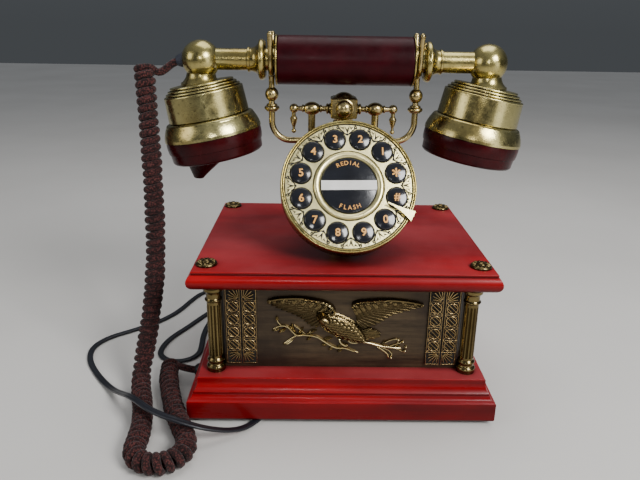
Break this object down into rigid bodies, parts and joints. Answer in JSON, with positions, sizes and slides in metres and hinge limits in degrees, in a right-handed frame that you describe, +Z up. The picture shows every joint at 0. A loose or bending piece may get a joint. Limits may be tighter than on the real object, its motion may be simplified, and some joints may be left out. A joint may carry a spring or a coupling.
{
  "type": "telephone",
  "caption": "Antique-style desk telephone with a push-button dial, brass cradle and handset on a red moulded box, with a curly handset cord and a flat line cord.",
  "frame": {"origin": "on the surface it stands on, under the centre of the plinth, measured without the cords", "axes": "+X to the right as seen by the user, +Y away from the user, +Z up; the dial faces -Y"},
  "size_m": [0.349, 0.3184, 0.2663],
  "materials": {
    "red_lacquer": "gloss lacquer, rubbed in the middle of the top",
    "antique_brass": "brushed antique brass with dark patina in recesses",
    "bronze_panel": "dark brushed bronze",
    "maroon_grip": "satin",
    "maroon_cap": "semi-gloss",
    "black_key": "gloss, with gold print",
    "white_label": "satin, blank",
    "maroon_braid": "woven cord",
    "black_cord": "satin",
    "black_rubber": "matte",
    "black_plastic": "matte",
    "circuit_board": "matte",
    "clear_plastic": "clear",
    "zinc_steel": "zinc plated",
    "cast_weight": "rough"
  },
  "bodies": {
    "root": {"plinth": "red_lacquer", "base_plate": "zinc_steel", "base_screws": "zinc_steel", "rubber_feet": "black_rubber", "ballast_weight": "cast_weight", "ringer": "black_plastic", "line_cord_clamp": "black_plastic", "base_cord_gland": "black_plastic", "body_shell": "black_plastic", "front_panel": "bronze_panel", "side_and_rear_panels": "bronze_panel", "filigree_strips": "antique_brass", "eagle_emblem": "antique_brass", "columns": "antique_brass", "top_plate": "red_lacquer", "rosettes": "antique_brass", "main_board": "circuit_board", "hook_switch": "black_plastic", "pedestal": "antique_brass", "dial_housing": "antique_brass", "dial_face": "antique_brass", "finger_stop": "antique_brass", "key_board": "circuit_board", "key_membrane": "black_rubber", "label_strip": "white_label", "handset_cord": "maroon_braid", "line_cord": "black_cord", "line_cord_coil": "black_cord", "line_plug": "clear_plastic"},
    "cradle": {"cradle_hub": "antique_brass", "cradle_bar": "antique_brass", "cradle_yoke": "antique_brass", "cradle_forks": "antique_brass", "plunger_rod": "zinc_steel"},
    "handset": {"handset_grip": "maroon_grip", "mouth_arm": "antique_brass", "ear_arm": "antique_brass", "mouth_cup": "antique_brass", "ear_cup": "antique_brass", "mouth_cap": "maroon_cap", "ear_cap": "maroon_cap", "microphone": "black_plastic", "receiver": "black_plastic", "handset_gland": "black_rubber", "handset_cord_lead": "maroon_braid"},
    "ringer_switch": {"ringer_switch": "black_plastic"},
    "key_1": {"key_1": "black_key"},
    "key_2": {"key_2": "black_key"},
    "key_3": {"key_3": "black_key"},
    "key_4": {"key_4": "black_key"},
    "key_5": {"key_5": "black_key"},
    "key_6": {"key_6": "black_key"},
    "key_7": {"key_7": "black_key"},
    "key_8": {"key_8": "black_key"},
    "key_9": {"key_9": "black_key"},
    "key_0": {"key_0": "black_key"},
    "key_hash": {"key_hash": "black_key"},
    "key_star": {"key_star": "black_key"},
    "redial_key": {"redial_key": "black_key"},
    "flash_key": {"flash_key": "black_key"}
  },
  "joints": [
    {"name": "handset_lift", "type": "slide", "parent": "root", "child": "handset", "axis": [0, 0, 1], "range_m": [0, 0.12]},
    {"name": "cradle_rise", "type": "slide", "parent": "root", "child": "cradle", "axis": [0, 0, 1], "range_m": [0, 0.005], "stiffness_N_per_m": 60, "springref_m": 0.055},
    {"name": "ringer_switch_slide", "type": "slide", "parent": "root", "child": "ringer_switch", "axis": [1, 0, 0], "range_m": [0, 0.006]},
    {"name": "key_1_press", "type": "slide", "parent": "root", "child": "key_1", "axis": [-0.0574, 0.8641, -0.5], "range_m": [0, 0.0015], "stiffness_N_per_m": 400, "springref_m": -0.0005},
    {"name": "key_2_press", "type": "slide", "parent": "root", "child": "key_2", "axis": [-0.0574, 0.8641, -0.5], "range_m": [0, 0.0015], "stiffness_N_per_m": 400, "springref_m": -0.0005},
    {"name": "key_3_press", "type": "slide", "parent": "root", "child": "key_3", "axis": [-0.0574, 0.8641, -0.5], "range_m": [0, 0.0015], "stiffness_N_per_m": 400, "springref_m": -0.0005},
    {"name": "key_4_press", "type": "slide", "parent": "root", "child": "key_4", "axis": [-0.0574, 0.8641, -0.5], "range_m": [0, 0.0015], "stiffness_N_per_m": 400, "springref_m": -0.0005},
    {"name": "key_5_press", "type": "slide", "parent": "root", "child": "key_5", "axis": [-0.0574, 0.8641, -0.5], "range_m": [0, 0.0015], "stiffness_N_per_m": 400, "springref_m": -0.0005},
    {"name": "key_6_press", "type": "slide", "parent": "root", "child": "key_6", "axis": [-0.0574, 0.8641, -0.5], "range_m": [0, 0.0015], "stiffness_N_per_m": 400, "springref_m": -0.0005},
    {"name": "key_7_press", "type": "slide", "parent": "root", "child": "key_7", "axis": [-0.0574, 0.8641, -0.5], "range_m": [0, 0.0015], "stiffness_N_per_m": 400, "springref_m": -0.0005},
    {"name": "key_8_press", "type": "slide", "parent": "root", "child": "key_8", "axis": [-0.0574, 0.8641, -0.5], "range_m": [0, 0.0015], "stiffness_N_per_m": 400, "springref_m": -0.0005},
    {"name": "key_9_press", "type": "slide", "parent": "root", "child": "key_9", "axis": [-0.0574, 0.8641, -0.5], "range_m": [0, 0.0015], "stiffness_N_per_m": 400, "springref_m": -0.0005},
    {"name": "key_0_press", "type": "slide", "parent": "root", "child": "key_0", "axis": [-0.0574, 0.8641, -0.5], "range_m": [0, 0.0015], "stiffness_N_per_m": 400, "springref_m": -0.0005},
    {"name": "key_hash_press", "type": "slide", "parent": "root", "child": "key_hash", "axis": [-0.0574, 0.8641, -0.5], "range_m": [0, 0.0015], "stiffness_N_per_m": 400, "springref_m": -0.0005},
    {"name": "key_star_press", "type": "slide", "parent": "root", "child": "key_star", "axis": [-0.0574, 0.8641, -0.5], "range_m": [0, 0.0015], "stiffness_N_per_m": 400, "springref_m": -0.0005},
    {"name": "redial_key_press", "type": "slide", "parent": "root", "child": "redial_key", "axis": [-0.0574, 0.8641, -0.5], "range_m": [0, 0.0015], "stiffness_N_per_m": 400, "springref_m": -0.0005},
    {"name": "flash_key_press", "type": "slide", "parent": "root", "child": "flash_key", "axis": [-0.0574, 0.8641, -0.5], "range_m": [0, 0.0015], "stiffness_N_per_m": 400, "springref_m": -0.0005}
  ],
  "couplings": [
    {"joint": "cradle_rise", "follows": "handset_lift", "ratio": 0.041666}
  ]
}
